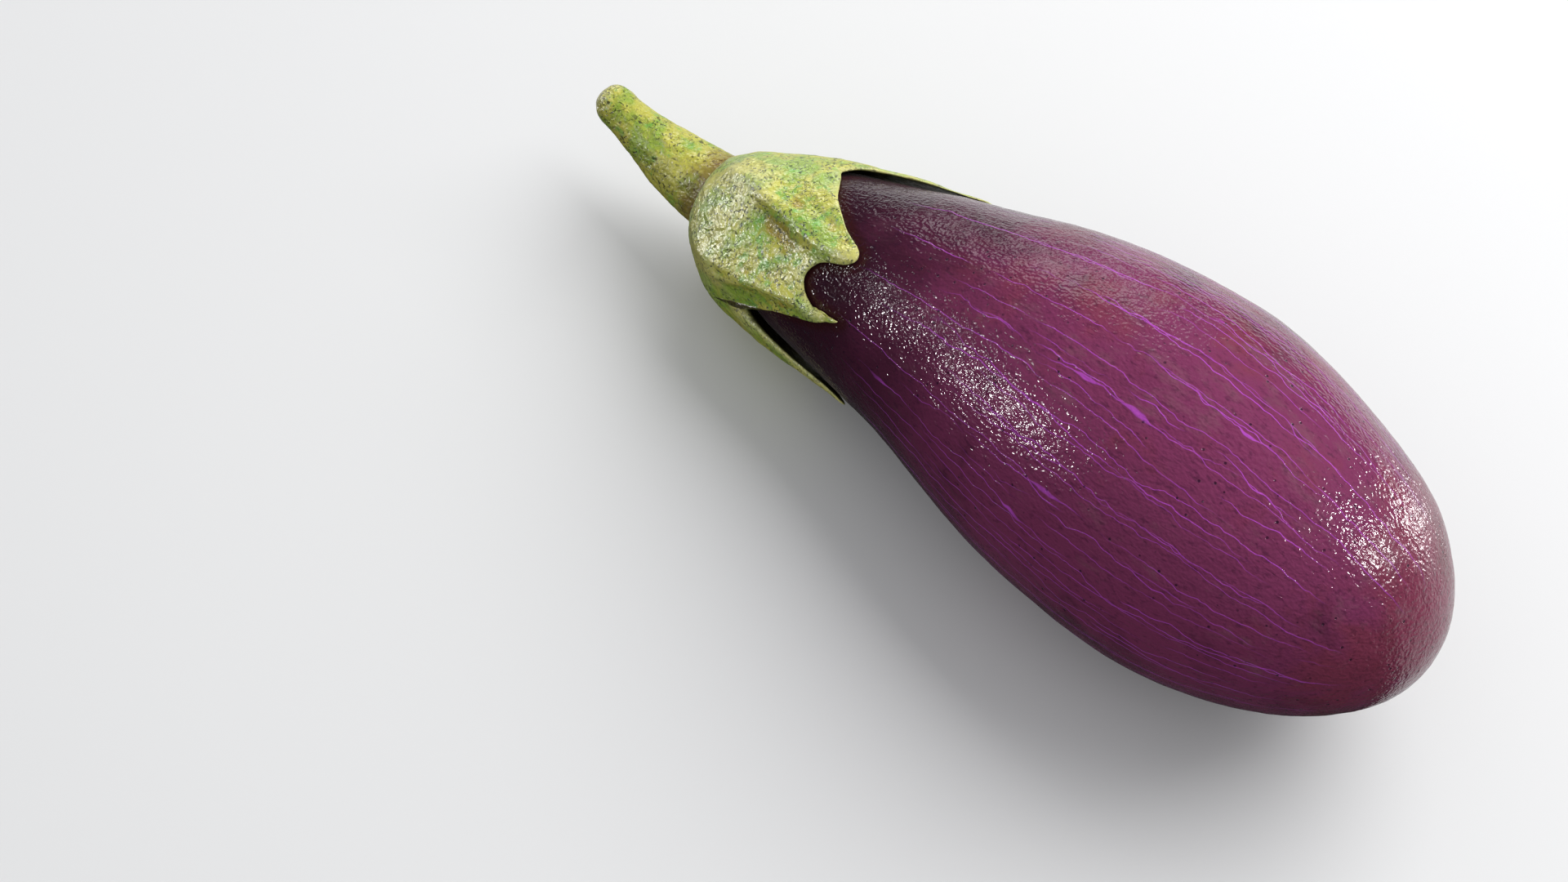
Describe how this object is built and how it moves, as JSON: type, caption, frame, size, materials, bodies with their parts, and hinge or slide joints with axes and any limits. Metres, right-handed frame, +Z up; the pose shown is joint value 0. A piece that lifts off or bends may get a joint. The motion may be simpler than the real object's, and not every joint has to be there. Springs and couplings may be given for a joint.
{
  "type": "eggplant",
  "caption": "Whole purple eggplant lying on its side, with a five-sepal green calyx over its neck and a short cut stalk that bends upward.",
  "frame": {"origin": "on the surface it lies on, inside the small flat spot under its weight", "axes": "+X along the fruit towards the blossom end, +Z up, the stalk towards -X"},
  "size_m": [0.232, 0.0798, 0.0796],
  "materials": {
    "skin": "taut glossy eggplant skin, near-black purple at the neck to wine and reddish purple at the blossom end, with thin violet veins lengthwise and fine leathery pores",
    "calyx_green": "dull leathery yellow-green calyx with greener patches, tan hollows, pale rims, dark specks and a fine net of cracks",
    "stalk_green": "dull yellow-green herbaceous stalk with dark specks, brown at the crease where it meets the calyx"
  },
  "bodies": {
    "root": {"fruit": "skin", "calyx": "calyx_green", "stalk": "stalk_green"}
  },
  "joints": []
}
